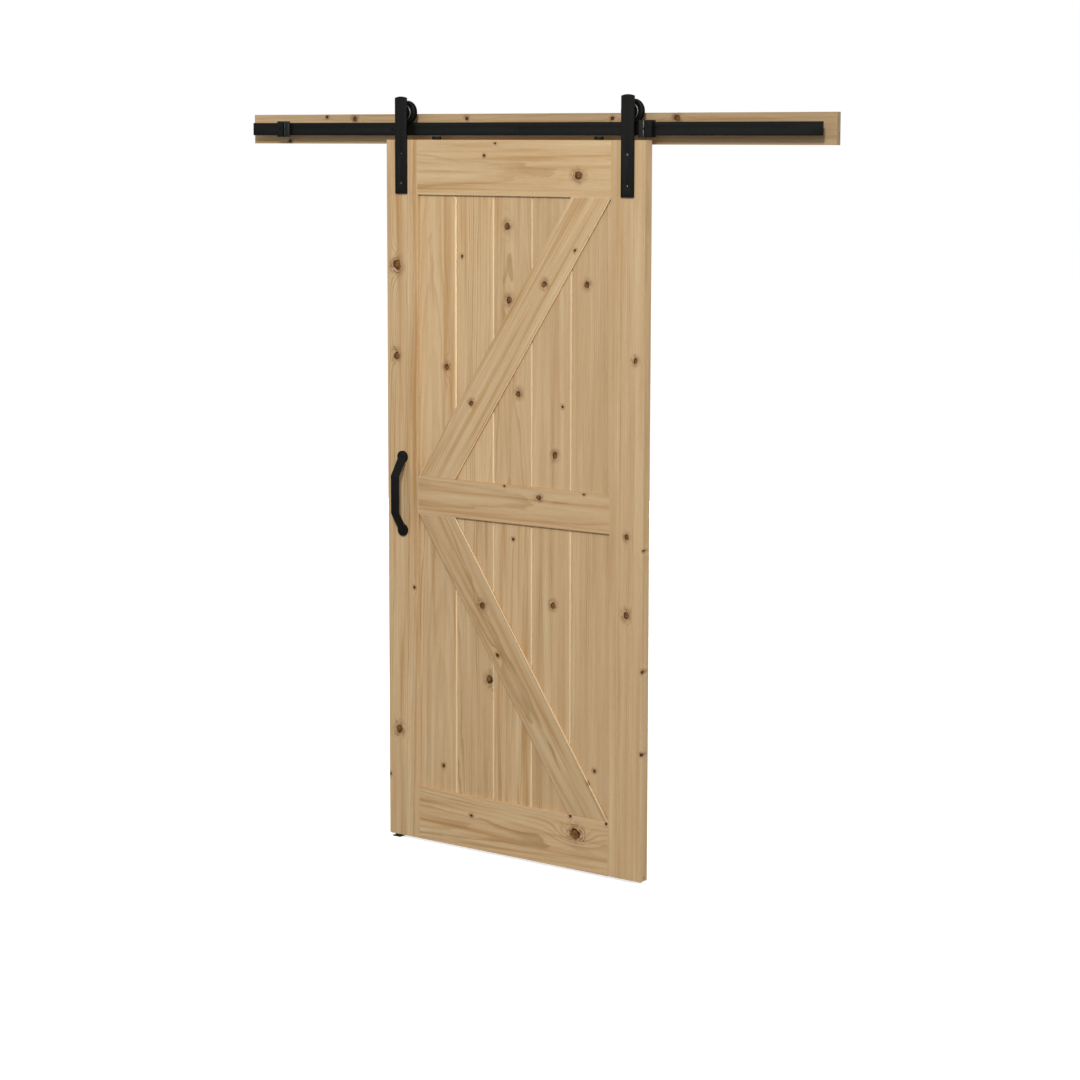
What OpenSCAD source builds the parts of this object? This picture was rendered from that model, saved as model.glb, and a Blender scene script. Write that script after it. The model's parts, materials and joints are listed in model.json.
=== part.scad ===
// Sliding barn door: a two-field K-brace leaf on a flat rail, with header board,
// hangers, end stops and floor guide. Millimetres, +Z up, +X right, the wall at +Y.
// Origin: the middle lag bolt's axis where it leaves the back of the header board.

/* [Door leaf] */
// Width of the door leaf
door_w = 914.4; // [760:0.1:1100]
// Height of the door leaf
door_h = 2133.6; // [1770:0.1:2570]
// Thickness of the door leaf
door_t = 35; // [32:0.5:45]
// Width of the two stiles
stile_w = 114.3; // [95:0.1:140]
// Height of the top and bottom rails
end_rail_h = 162; // [135:0.5:200]
// Height of the middle rail
mid_rail_h = 114.3; // [95:0.1:160]
// Width of the diagonal braces, square to their length
brace_w = 114.3; // [90:0.1:140]
// Thickness of the field planks
plank_t = 19; // [16:0.5:24]
// Depth of the V at each plank joint
plank_v = 3; // [1:0.5:4]
// Depth of the grooves that hold the planks in the frame
frame_groove_d = 12; // [9:0.5:15]
// Diameter of the frame dowels
dowel_d = 10; // [8:0.5:12]
// Length of the frame dowels
dowel_l = 80; // [60:1:90]
// Distance between the two dowels of a top or bottom rail end
end_dowel_pitch = 80; // [60:1:95]
// Distance between the two dowels of a middle rail end
mid_dowel_pitch = 50; // [30:1:55]

/* [Track] */
// Length of the rail
rail_l = 2000; // [1660:1:2400]
// Height of the rail
rail_h = 38; // [31:0.1:46]
// Thickness of the rail
rail_t = 6; // [5:0.1:8]
// Distance from each rail end to its last bolt
rail_end_inset = 100; // [60:1:120]
// Number of lag bolts along the rail
lag_count = 5; // [3:2:9]
// Length of the header board
header_l = 2050; // [1700:1:2460]
// Height of the header board
header_h = 89; // [75:0.5:140]
// Thickness of the header board
header_t = 19; // [16:0.5:40]
// Length of the spacers between rail and header board
spacer_l = 30; // [26:0.5:40]
// Outer diameter of the spacers
spacer_d = 20; // [16:0.5:22]
// Shank diameter of the lag bolts
lag_d = 8; // [6:0.5:10]
// Head diameter of the lag bolts
lag_head_d = 16; // [13:0.5:18]
// Core diameter of the lag bolts' threaded ends
lag_core_d = 7.2; // [5:0.1:7.8]
// Length of the full threaded end behind the header board
lag_thread_l = 45; // [30:1:70]
// Length of the lag bolts' pointed tips
lag_tip_l = 7; // [5:0.5:10]
// Gap between the rail's lower edge and the door's top edge
rail_to_door = 13; // [12:0.5:20]

/* [Wheels] */
// Width of the wheels
wheel_w = 24; // [22:0.1:29]
// Running diameter at the bottom of the wheel groove
tread_d = 60; // [50:0.5:72]
// Height of the wheel flanges above the groove
flange_h = 5; // [3:0.5:8]
// Side clearance between the rail and the bottom of the wheel groove
tread_side_gap = 0.6; // [0.4:0.1:1]
// How much wider the groove is at its mouth
tread_flare = 2.4; // [1:0.1:4]
// Diameter of the hub that stands out from the wheel's faces
hub_d = 47; // [40:0.5:52]
// How far the hub stands out from the wheel's faces
hub_step = 3; // [1:0.1:4]
// Outer diameter of the bearing
bearing_od = 32; // [26:0.1:39]
// Width of the bearing
bearing_w = 10; // [9:0.5:12]
// Diameter of the axles
axle_d = 12; // [10:0.1:14.5]

/* [Hangers] */
// Width of the hanger straps
strap_w = 42; // [35:0.5:50]
// Thickness of the hanger straps
strap_t = 6; // [5:0.5:8]
// Clear space between a strap and its wheel
strap_to_wheel = 11; // [9.5:0.5:15]
// Reach of the straps above the door's top edge
strap_up = 128; // [120:0.5:150]
// Reach of the straps below the door's top edge
strap_down = 160; // [145:0.5:200]
// Radius of the arc across the top of the straps
strap_arc_r = 55; // [30:0.5:90]
// Distance from the door's top edge to the upper strap screw
strap_screw_down = 40; // [30:0.5:60]
// Distance between the two strap screws
strap_screw_pitch = 88; // [60:0.5:100]
// Shank diameter of the strap screws
strap_screw_d = 8; // [6:0.5:8]
// Diameter of the sleeve nuts' flanges
nut_flange_d = 20; // [16:0.5:24]
// Distance from the stiles' inner edges to the anti-jump discs' centres
disc_inset = 56; // [45:1:120]
// Diameter of the anti-jump discs
disc_d = 28; // [22:0.5:34]
// Clearance between the anti-jump discs and the rail's lower edge
disc_clear = 3; // [1:0.5:5]

/* [Stops] */
// Distance from the rail's left end to the left stop
stop_inset = 107; // [20:1:400]
// Width of the stop saddles along the rail
saddle_l = 22; // [20:0.5:32]
// How far the stops stand above and below the rail
stop_lip = 5; // [2:0.5:6]
// Thickness of the stops in front of the rail
stop_front_t = 11; // [10:0.5:12]
// Length of the rubber bumpers
bumper_l = 17; // [10:0.5:20]
// Thickness of the bumpers' backing plates
backing_t = 1.5; // [1:0.1:3]
// Gap between the backing plate and the saddle
stop_gap_l = 5; // [3:0.5:8]

/* [Handle] */
// Distance between the centres of the handle's feet
handle_pitch = 224; // [150:1:300]
// Length of the handle's straight grip
grip_l = 114; // [90:1:130]
// Width of the handle bar
grip_w = 28; // [18:0.5:30]
// Thickness of the handle bar
grip_t = 6; // [5:0.5:8]
// Clear space between the grip and the door
grip_off = 38; // [30:0.5:50]
// Diameter of the handle's feet
foot_d = 37; // [30:0.5:40]
// Thickness of the handle's feet
foot_t = 6; // [5:0.5:8]

/* [Floor guide] */
// Gap between the door's bottom edge and the floor
floor_gap = 10; // [8:0.5:15]
// Length of the guide along the door
guide_l = 28; // [20:0.5:60]
// Width of the guide's base across the door
guide_w = 34; // [30:0.5:34]
// Thickness of the guide's base
guide_t = 4; // [3:0.5:5]
// Thickness of the guide's fin
fin_t = 5; // [4:0.1:6]
// Distance between the guide's two screw holes
guide_hole_pitch = 22; // [20:0.5:24]
// Diameter of the guide's screw holes
guide_hole_d = 4.5; // [3:0.1:5]
// Distance from the door's left edge to the guide
guide_inset = 10; // [5:1:400]
// Depth of the groove in the door's bottom edge
guide_groove_d = 15; // [12:0.5:20]

/* [Hidden] */
// Clearances
fit_gap = 0.05;                 // bearing seats and turned parts
hole_gap = 0.1;                 // screws and dowels in their holes
glue_gap = 0.1;                 // tenons and tongues in their grooves
end_gap = 1;                    // room at the bottom of a groove
run_gap = 0.3;                  // wheel over rail, bumper before wheel, rail in saddle
fin_gap = 0.75;                 // guide fin in its groove
fin_top_gap = 2;                // room above the guide fin

// Depths from the wall, all towards -Y
rail_back = -(header_t + spacer_l);
rail_front = rail_back - rail_t;
rail_mid = rail_front + rail_t / 2;
strap_back = rail_mid - wheel_w / 2 - strap_to_wheel;
door_front = strap_back;
door_back = door_front + door_t;
door_mid = door_front + door_t / 2;
strap_front = strap_back - strap_t;

// Heights
rail_top = rail_h / 2;
door_top = -rail_h / 2 - rail_to_door;
door_bottom = door_top - door_h;
door_centre = door_top - door_h / 2;
floor_z = door_bottom - floor_gap;
axle_z = rail_top + tread_d / 2;
mid_rail_top = door_centre + mid_rail_h / 2;
mid_rail_bottom = door_centre - mid_rail_h / 2;
top_rail_bottom = door_top - end_rail_h;
bottom_rail_top = door_bottom + end_rail_h;

// Frame and field
field_w = door_w - 2 * stile_w;
field_left = -field_w / 2;
stile_mid = (door_w - stile_w) / 2;
plank_count = 5;
plank_pitch = field_w / plank_count;
frame_groove_w = plank_t + 2 * glue_gap;
edge_in_groove = frame_groove_d - end_gap;
tongue_l = 6;
tongue_t = 6;
overlay_t = (door_t - plank_t) / 2;
dowel_into_rail = dowel_l / 2 - hole_gap;
lag_pitch = (rail_l - 2 * rail_end_inset) / (lag_count - 1);
guide_groove_w = fin_t + 2 * fin_gap;
disc_x = field_w / 2 - disc_inset;
disc_h = rail_to_door - disc_clear;

// Wheel and bearing, from the axle outwards
flange_r = tread_d / 2 + flange_h;
tread_w = rail_t + 2 * tread_side_gap;
race_wall = 2.2;
race_groove = 0.425;
inner_race_r = axle_d / 2 + fit_gap + race_wall;
outer_race_wall = 2.6;
outer_race_r = bearing_od / 2 - outer_race_wall;
ball_ring_r = (inner_race_r + outer_race_r) / 2;
ball_gap = 0.3;
ball_groove_r = (outer_race_r - inner_race_r) / 2 + race_groove;
ball_d = 2 * (ball_groove_r - ball_gap);
ball_count = floor(180 / asin(ball_groove_r / ball_ring_r));
shield_t = 0.8;
clip_t = 1.2;
clip_depth = 1.2;
clip_opening = 6;
rim_chamfer = 1;                // eased edges of the wheel
shoulder_reach = 2;             // wheel shoulder in front of the bearing
axle_thread_d = 10;
axle_thread_l = 4.5;
axle_collar_l = 0.8;
axle_head_d = 18;
collar_step = 0.4;              // axle collar below the inner race's rim
axle_head_t = 4;
socket_d = 6;
axle_socket_d = 8;
spacer_to_bearing = rail_mid - bearing_w / 2 - strap_back;

// Screws
sink_h = 4;
strap_head_d = 15;
nut_barrel_d = 11;
nut_barrel_l = 20;
nut_flange_t = 2;
strap_tip_short = 4;
disc_screw_d = 5;
disc_screw_head_d = 10;
disc_screw_l = 45;
screw_tip_r = 0.3;
lag_tip_r = 0.4;
handle_screw_d = 6;
handle_head_d = 11;
handle_head_t = 4;
handle_bite = 5;
grub_d = 6;
grub_recess = 0.6;

// Stops
stop_h = rail_h + 2 * stop_lip;
stop_front = rail_front - stop_front_t;
hook_t = 5;
window_h = 24;
stud_d = 6;
stud_collar_d = 10.8;
stud_bite = 6;
bumper_round = 5;
plate_inset = 1.5;              // backing plate behind the bumper's edges
flange_reach = sqrt(pow(flange_r, 2) - pow(axle_z - stop_h / 2, 2));
stop_tip = stile_mid + flange_reach + run_gap;
bumper_end = stop_tip + bumper_l;
backing_end = bumper_end + backing_t;
saddle_start = backing_end + stop_gap_l;
saddle_end = saddle_start + saddle_l;
stop_mid_y = (stop_front + rail_front) / 2;
left_stop_shift = rail_l / 2 - stop_inset - saddle_end;

$fn = 64;

upper_planks = [for (i = [1:plank_count]) str("upper_plank_", i)];
lower_planks = [for (i = [1:plank_count]) str("lower_plank_", i)];
sides = ["left", "right"];

// ---- helpers -------------------------------------------------------------

function side_of(name) = name == "left" ? -1 : 1;

// A box from its two corners
module block(low, high) {
    translate(low) cube(high - low);
}

// A cylinder along +Y from depth y0 to y1
module rod(x, z, y0, y1, r1, r2) {
    translate([x, y0, z]) rotate([-90, 0, 0]) cylinder(h = y1 - y0, r1 = r1, r2 = r2);
}

// A profile of [radius, depth] points turned about an axis along Y
module turned(x, z, points) {
    translate([x, 0, z]) rotate([-90, 0, 0]) rotate_extrude() polygon(points);
}

// An outline in X and Z, extruded from depth y0 to y1
module plate(y0, y1) {
    translate([0, y1, 0]) rotate([90, 0, 0]) linear_extrude(y1 - y0) children();
}

// A six-sided key socket cut along Y
module key_socket(x, z, y0, y1, across) {
    translate([x, y0, z]) rotate([-90, 0, 0]) cylinder(h = y1 - y0, d = across, $fn = 6);
}

// Places of what repeats
lag_places = [for (i = [0:lag_count - 1]) (i - (lag_count - 1) / 2) * lag_pitch];
strap_screw_heights = [door_top - strap_screw_down, door_top - strap_screw_down - strap_screw_pitch];
handle_heights = [door_centre - handle_pitch / 2, door_centre + handle_pitch / 2];
end_dowels = [-end_dowel_pitch / 2, end_dowel_pitch / 2];
mid_dowels = [-mid_dowel_pitch / 2, mid_dowel_pitch / 2];
dowel_heights = concat(
    [for (d = end_dowels) door_top - end_rail_h / 2 + d],
    [for (d = mid_dowels) door_centre + d],
    [for (d = end_dowels) door_bottom + end_rail_h / 2 + d]);

// ---- track ---------------------------------------------------------------

module header_board() {
    color("burlywood") difference() {
        block([-header_l / 2, -header_t, -header_h / 2], [header_l / 2, 0, header_h / 2]);
        for (x = lag_places) rod(x, 0, -header_t - 1, 1, lag_d / 2 + hole_gap, lag_d / 2 + hole_gap);
    }
}

module track_rail() {
    color("dimgray") difference() {
        block([-rail_l / 2, rail_front, -rail_h / 2], [rail_l / 2, rail_back, rail_h / 2]);
        for (x = lag_places) turned(x, 0, [
            [0, rail_front - 1], [lag_head_d / 2 + hole_gap, rail_front - 1],
            [lag_head_d / 2 + hole_gap, rail_front], [lag_d / 2 + hole_gap, rail_front + sink_h],
            [lag_d / 2 + hole_gap, rail_back + 1], [0, rail_back + 1]]);
    }
}

module track_spacers() {
    color("dimgray") for (x = lag_places) difference() {
        rod(x, 0, rail_back, -header_t, spacer_d / 2, spacer_d / 2);
        rod(x, 0, rail_back - 1, 1 - header_t, lag_d / 2 + hole_gap, lag_d / 2 + hole_gap);
    }
}

module lag_bolts() {
    color("dimgray") for (x = lag_places) difference() {
        turned(x, 0, [
            [0, rail_front], [lag_head_d / 2, rail_front], [lag_d / 2, rail_front + sink_h],
            [lag_d / 2, 0], [lag_core_d / 2, 0], [lag_core_d / 2, lag_thread_l],
            [lag_tip_r, lag_thread_l + lag_tip_l], [0, lag_thread_l + lag_tip_l]]);
        key_socket(x, 0, rail_front - 1, rail_front + sink_h - 1, socket_d);
    }
}

module floor_guide() {
    left = -door_w / 2 + guide_inset;
    color("saddlebrown") difference() {
        union() {
            block([left, door_mid - guide_w / 2, floor_z],
                  [left + guide_l, door_mid + guide_w / 2, floor_z + guide_t]);
            block([left, door_mid - fin_t / 2, floor_z],
                  [left + guide_l, door_mid + fin_t / 2, door_bottom + guide_groove_d - fin_top_gap]);
        }
        for (s = [-1, 1])
            translate([left + guide_l / 2, door_mid + s * guide_hole_pitch / 2, floor_z - 1])
                cylinder(h = guide_t + 2, d = guide_hole_d);
    }
}

// ---- end stops: drawn for the right end, mirrored and shifted for the left --

module stop_place(side) {
    if (side == "left") translate([-left_stop_shift, 0, 0]) mirror([1, 0, 0]) children();
    else children();
}

module stop_saddle(side) {
    slot = rail_h / 2 + run_gap / 2;
    color("dimgray") stop_place(side) difference() {
        block([saddle_start, stop_front, -stop_h / 2],
              [saddle_end, rail_back + hook_t, stop_h / 2]);
        block([saddle_start - 1, rail_front, -slot], [saddle_end + 1, rail_back + run_gap / 2, slot]);
        block([saddle_start - 1, rail_back, -window_h / 2],
              [saddle_end + 1, rail_back + hook_t + 1, window_h / 2]);
        rod((saddle_start + saddle_end) / 2, 0, stop_front - 1, rail_front + 1,
            grub_d / 2 + hole_gap, grub_d / 2 + hole_gap);
        stud_bore(saddle_start, saddle_start + stud_bite + end_gap);
    }
}

// A bore along X for the stop's stud
module stud_bore(x0, x1) {
    translate([x0 - 1, stop_mid_y, 0]) rotate([0, 90, 0])
        cylinder(h = x1 - x0 + 1, d = stud_d + 2 * fit_gap);
}

module stop_bumper(side) {
    low = stop_tip + bumper_round;
    color("black") stop_place(side) difference() {
        translate([0, 0, -stop_h / 2]) linear_extrude(stop_h) {
            polygon([[low, stop_front], [bumper_end, stop_front], [bumper_end, rail_front - run_gap],
                     [low, rail_front - run_gap]]);
            translate([low, stop_front + bumper_round]) circle(bumper_round);
            translate([low, rail_front - run_gap - bumper_round]) circle(bumper_round);
            polygon([[stop_tip, stop_front + bumper_round], [low, stop_front + bumper_round],
                     [low, rail_front - run_gap - bumper_round],
                     [stop_tip, rail_front - run_gap - bumper_round]]);
        }
        translate([bumper_end - stud_bite, stop_mid_y, 0]) rotate([0, 90, 0])
            cylinder(h = stud_bite + 1, d = stud_d + 2 * fit_gap);
    }
}

module stop_backing_plates() {
    color("silver") for (side = sides) stop_place(side) difference() {
        block([bumper_end, stop_front + plate_inset, plate_inset - stop_h / 2],
              [backing_end, rail_front - run_gap, stop_h / 2 - plate_inset]);
        stud_bore(bumper_end, backing_end + 1);
    }
}

module stop_studs() {
    color("dimgray") for (side = sides) stop_place(side) {
        translate([bumper_end - stud_bite + end_gap, stop_mid_y, 0]) rotate([0, 90, 0])
            cylinder(h = saddle_start + 2 * stud_bite - end_gap - bumper_end, d = stud_d);
        translate([backing_end, stop_mid_y, 0]) rotate([0, 90, 0])
            cylinder(h = stop_gap_l, d = stud_collar_d);
    }
}

module stop_grub_screws() {
    mid = (saddle_start + saddle_end) / 2;
    color("dimgray") for (side = sides) stop_place(side) difference() {
        rod(mid, 0, stop_front + grub_recess, rail_front, grub_d / 2, grub_d / 2);
        key_socket(mid, 0, stop_front - 1, stop_front + grub_d / 2, grub_d / 2);
    }
}

// ---- door leaf -----------------------------------------------------------

module stile(side) {
    s = side_of(side);
    inner = s * field_w / 2;
    outer = s * door_w / 2;
    groove = s * (field_w / 2 + frame_groove_d);
    color("burlywood") difference() {
        block([min(inner, outer), door_front, door_bottom], [max(inner, outer), door_back, door_top]);
        block([min(inner - s, groove), door_mid - frame_groove_w / 2, door_bottom - 1],
              [max(inner - s, groove), door_mid + frame_groove_w / 2, door_top + 1]);
        guide_groove();
        dowel_bores();
        for (z = strap_screw_heights) {
            rod(s * stile_mid, z, door_front - 1, door_back, strap_screw_d / 2 + hole_gap,
                strap_screw_d / 2 + hole_gap);
            rod(s * stile_mid, z, door_back - nut_barrel_l - end_gap, door_back + 1,
                nut_barrel_d / 2 + hole_gap, nut_barrel_d / 2 + hole_gap);
        }
        if (side == "left") for (z = handle_heights) {
            rod(-stile_mid, z, door_front - 1, door_back, handle_screw_d / 2 + hole_gap,
                handle_screw_d / 2 + hole_gap);
            rod(-stile_mid, z, door_back - handle_head_t, door_back + 1,
                handle_head_d / 2 + 2 * hole_gap, handle_head_d / 2 + 2 * hole_gap);
        }
    }
}

// The groove along the door's bottom edge
module guide_groove() {
    block([-door_w / 2 - 1, door_mid - guide_groove_w / 2, door_bottom - 1],
          [door_w / 2 + 1, door_mid + guide_groove_w / 2, door_bottom + guide_groove_d]);
}

// Round rods along X across both frame joints at every dowel height
module dowel_rods(extra_r, extra_l) {
    length = dowel_l + 2 * extra_l;
    start = field_w / 2 + frame_groove_d - dowel_into_rail - frame_groove_d / 2 - extra_l;
    for (z = dowel_heights) for (s = [-1, 1])
        translate([s > 0 ? start : -start - length, door_mid, z]) rotate([0, 90, 0])
            cylinder(h = length, d = dowel_d + 2 * extra_r, $fn = 32);
}

module dowel_bores() {
    dowel_rods(hole_gap, end_gap);
}

module frame_dowels() {
    color("tan") dowel_rods(0, 0);
}

// A cross rail with stub tenons, grooved where a field meets it
module cross_rail(low, high, groove_below, groove_above) {
    tenon = field_w / 2 + edge_in_groove;
    groove = frame_groove_w / 2;
    color("burlywood") difference() {
        union() {
            block([field_left, door_front, low], [-field_left, door_back, high]);
            block([-tenon, door_mid - plank_t / 2, low], [tenon, door_mid + plank_t / 2, high]);
        }
        if (groove_above)
            block([-tenon - 1, door_mid - groove, high - frame_groove_d],
                  [tenon + 1, door_mid + groove, high + 1]);
        if (groove_below)
            block([-tenon - 1, door_mid - groove, low - 1],
                  [tenon + 1, door_mid + groove, low + frame_groove_d]);
        dowel_bores();
        children();
    }
}

module top_rail() {
    cross_rail(top_rail_bottom, door_top, true, false)
        for (s = [-1, 1]) translate([s * disc_x, rail_mid, door_top - disc_screw_l])
            cylinder(h = disc_screw_l + 1, d = disc_screw_d + 2 * hole_gap);
}

module middle_rail() {
    cross_rail(mid_rail_bottom, mid_rail_top, true, true);
}

module bottom_rail() {
    cross_rail(door_bottom, bottom_rail_top, false, true) guide_groove();
}

// The cross-section of plank number i, in X and Y about the door's mid depth
function plank_left(i) = let (x = field_left + (i - 1) * plank_pitch, t = plank_t / 2,
    g = tongue_t / 2 + glue_gap, d = tongue_l + glue_gap)
    i == 1
        ? [[x - edge_in_groove, t], [x - edge_in_groove, -t]]
        : [[x + plank_v, t], [x, t - plank_v], [x, g], [x + d, g], [x + d, -g], [x, -g],
           [x, plank_v - t], [x + plank_v, -t]];

function plank_right(i) = let (x = field_left + i * plank_pitch, t = plank_t / 2, g = tongue_t / 2)
    i == plank_count
        ? [[x + edge_in_groove, -t], [x + edge_in_groove, t]]
        : [[x - plank_v, -t], [x, plank_v - t], [x, -g], [x + tongue_l, -g], [x + tongue_l, g],
           [x, g], [x, t - plank_v], [x - plank_v, t]];

module plank(i, low, high) {
    color("navajowhite") translate([0, door_mid, low - edge_in_groove])
        linear_extrude(high - low + 2 * edge_in_groove)
            polygon(concat(plank_left(i), plank_right(i)));
}

// How far a brace's square-cut foot reaches along the rail it meets
function brace_foot(field_h) = let (a = pow(field_h, 2) - pow(brace_w, 2), b = pow(brace_w, 2) * field_w,
    c = pow(brace_w, 2) * (pow(field_w, 2) + pow(field_h, 2))) (sqrt(b * b + a * c) - b) / a;

// A diagonal board over the planks, from foot at its low left to foot at its high right
module brace(low, high, rising, front) {
    foot = brace_foot(high - low);
    y0 = front ? door_front : door_back - overlay_t;
    color("burlywood") mirror([rising ? 0 : 1, 0, 0]) plate(y0, y0 + overlay_t)
        polygon([[field_left, low], [field_left + foot, low], [-field_left, high],
                 [-field_left - foot, high]]);
}

// ---- hangers -------------------------------------------------------------

module strap(side) {
    x = side_of(side) * stile_mid;
    top = door_top + strap_up;
    low = door_top - strap_down;
    color("dimgray") difference() {
        plate(strap_front, strap_back) intersection() {
            translate([x - strap_w / 2, low]) square([strap_w, top - low]);
            union() {
                translate([x, top - strap_arc_r]) circle(strap_arc_r, $fn = 128);
                translate([x - strap_w / 2, low])
                    square([strap_w, top - low - strap_arc_r]);
            }
        }
        for (z = strap_screw_heights) turned(x, z, [
            [0, strap_front - 1], [strap_head_d / 2 + hole_gap, strap_front - 1],
            [strap_head_d / 2 + hole_gap, strap_front], [strap_screw_d / 2 + hole_gap, strap_front + sink_h],
            [strap_screw_d / 2 + hole_gap, strap_back + 1], [0, strap_back + 1]]);
        rod(x, axle_z, strap_back - axle_thread_l - hole_gap, strap_back + 1,
            axle_thread_d / 2 + fit_gap, axle_thread_d / 2 + fit_gap);
    }
}

module strap_screws() {
    color("dimgray") for (side = sides) for (z = strap_screw_heights) difference() {
        turned(side_of(side) * stile_mid, z, [
            [0, strap_front], [strap_head_d / 2, strap_front],
            [strap_screw_d / 2, strap_front + sink_h],
            [strap_screw_d / 2, door_back - strap_tip_short], [0, door_back - strap_tip_short]]);
        key_socket(side_of(side) * stile_mid, z, strap_front - 1, strap_front + sink_h - 1, socket_d);
    }
}

module sleeve_nuts() {
    bore = strap_screw_d / 2 + fit_gap;
    color("dimgray") for (side = sides) for (z = strap_screw_heights)
        turned(side_of(side) * stile_mid, z, [
            [bore, door_back - nut_barrel_l], [nut_barrel_d / 2, door_back - nut_barrel_l],
            [nut_barrel_d / 2, door_back], [nut_flange_d / 2, door_back],
            [nut_flange_d / 2, door_back + nut_flange_t], [0, door_back + nut_flange_t],
            [0, door_back - 1], [bore, door_back - 1]]);
}

module axle(side) {
    x = side_of(side) * stile_mid;
    seat = rail_mid + bearing_w / 2;
    head = seat + axle_collar_l;
    color("silver") difference() {
        turned(x, axle_z, [
            [0, strap_back - axle_thread_l], [axle_thread_d / 2, strap_back - axle_thread_l],
            [axle_thread_d / 2, strap_back], [axle_d / 2, strap_back], [axle_d / 2, seat],
            [inner_race_r - collar_step, seat], [inner_race_r - collar_step, head], [axle_head_d / 2, head],
            [axle_head_d / 2, head + axle_head_t], [0, head + axle_head_t]]);
        key_socket(x, axle_z, head, head + axle_head_t + 1, axle_socket_d);
    }
}

module axle_spacers() {
    bore = axle_d / 2 + fit_gap;
    color("silver") for (side = sides) turned(side_of(side) * stile_mid, axle_z, [
        [bore, strap_back], [inner_race_r, strap_back],
        [inner_race_r, strap_back + spacer_to_bearing], [bore, strap_back + spacer_to_bearing]]);
}

module anti_jump_discs() {
    color("dimgray") for (s = [-1, 1]) translate([s * disc_x, rail_mid, door_top])
        rotate_extrude() polygon([
            [disc_screw_d / 2 + hole_gap, 0], [disc_d / 2, 0], [disc_d / 2, disc_h],
            [disc_screw_head_d / 2 + hole_gap, disc_h],
            [disc_screw_d / 2 + hole_gap, disc_h - sink_h]]);
}

module disc_screws() {
    tip = disc_screw_d;
    color("silver") for (s = [-1, 1]) translate([s * disc_x, rail_mid, door_top + disc_h])
        rotate_extrude() polygon([
            [0, -disc_screw_l], [screw_tip_r, -disc_screw_l], [disc_screw_d / 2, tip - disc_screw_l],
            [disc_screw_d / 2, -sink_h], [disc_screw_head_d / 2, 0], [0, 0]]);
}

// ---- wheels --------------------------------------------------------------

wheel_front = rail_mid - wheel_w / 2;
wheel_back = rail_mid + wheel_w / 2;
bearing_front = rail_mid - bearing_w / 2;
bearing_back = rail_mid + bearing_w / 2;
bearing_seat_r = bearing_od / 2 + fit_gap;
shoulder_r = bearing_od / 2 - shoulder_reach;

module wheel(side) {
    tread_r = tread_d / 2 - run_gap;
    hub_r = hub_d / 2;
    rim_front = wheel_front + hub_step;
    rim_back = wheel_back - hub_step;
    color("dimgray") turned(side_of(side) * stile_mid, axle_z, [
        [shoulder_r, wheel_front], [hub_r - rim_chamfer, wheel_front],
        [hub_r, wheel_front + rim_chamfer], [hub_r, rim_front],
        [flange_r - rim_chamfer, rim_front], [flange_r, rim_front + rim_chamfer],
        [flange_r, rail_mid - tread_w / 2 - tread_flare / 2],
        [tread_r, rail_mid - tread_w / 2], [tread_r, rail_mid + tread_w / 2],
        [flange_r, rail_mid + tread_w / 2 + tread_flare / 2],
        [flange_r, rim_back - rim_chamfer], [flange_r - rim_chamfer, rim_back],
        [hub_r, rim_back], [hub_r, wheel_back - rim_chamfer],
        [hub_r - rim_chamfer, wheel_back], [bearing_seat_r, wheel_back],
        [bearing_seat_r, bearing_back + clip_t + fit_gap],
        [bearing_seat_r + clip_depth, bearing_back + clip_t + fit_gap],
        [bearing_seat_r + clip_depth, bearing_back], [bearing_seat_r, bearing_back],
        [bearing_seat_r, bearing_front], [shoulder_r, bearing_front]]);
}

// A bearing ring between two radii, with a round ball groove
module race(x, r_in, r_out) {
    color("silver") translate([x, rail_mid, axle_z]) rotate([-90, 0, 0]) rotate_extrude() difference() {
        translate([r_in, -bearing_w / 2]) square([r_out - r_in, bearing_w]);
        translate([ball_ring_r, 0]) circle(ball_groove_r, $fn = 48);
    }
}

module outer_race(side) {
    race(side_of(side) * stile_mid, outer_race_r, bearing_od / 2);
}

module inner_race(side) {
    race(side_of(side) * stile_mid, axle_d / 2 + fit_gap, inner_race_r);
}

module bearing_balls(side) {
    color("silver") translate([side_of(side) * stile_mid, rail_mid, axle_z])
        for (i = [0:ball_count - 1]) rotate([0, i * 360 / ball_count, 0])
            translate([ball_ring_r, 0, 0]) sphere(d = ball_d, $fn = 32);
}

module bearing_shields(side) {
    r_in = inner_race_r + run_gap;
    r_out = outer_race_r - fit_gap;
    color("silver") for (y = [bearing_front, bearing_back - shield_t])
        turned(side_of(side) * stile_mid, axle_z, [
            [r_in, y], [r_out, y], [r_out, y + shield_t], [r_in, y + shield_t]]);
}

module circlip(side) {
    x = side_of(side) * stile_mid;
    outer = bearing_seat_r + clip_depth - fit_gap;
    color("silver") difference() {
        turned(x, axle_z, [[shoulder_r, bearing_back], [outer, bearing_back],
            [outer, bearing_back + clip_t], [shoulder_r, bearing_back + clip_t]]);
        block([x - clip_opening / 2, bearing_back - 1, axle_z],
              [x + clip_opening / 2, bearing_back + clip_t + 1, axle_z + bearing_od]);
    }
}

// ---- pull handle ---------------------------------------------------------

// Mitred outline of a band of thickness t along points p
function turn_normal(a, b) = let (d = (b - a) / norm(b - a)) [-d[1], d[0]];
function mitre(p, i, t) =
    i == 0 ? p[0] + turn_normal(p[0], p[1]) * t / 2
    : i == len(p) - 1 ? p[i] + turn_normal(p[i - 1], p[i]) * t / 2
    : let (m = turn_normal(p[i - 1], p[i]) + turn_normal(p[i], p[i + 1])) p[i] + m * t / (m * m);
function band(p, t) = concat(
    [for (i = [0:len(p) - 1]) mitre(p, i, t)],
    [for (i = [len(p) - 1:-1:0]) mitre(p, i, -t)]);

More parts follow.
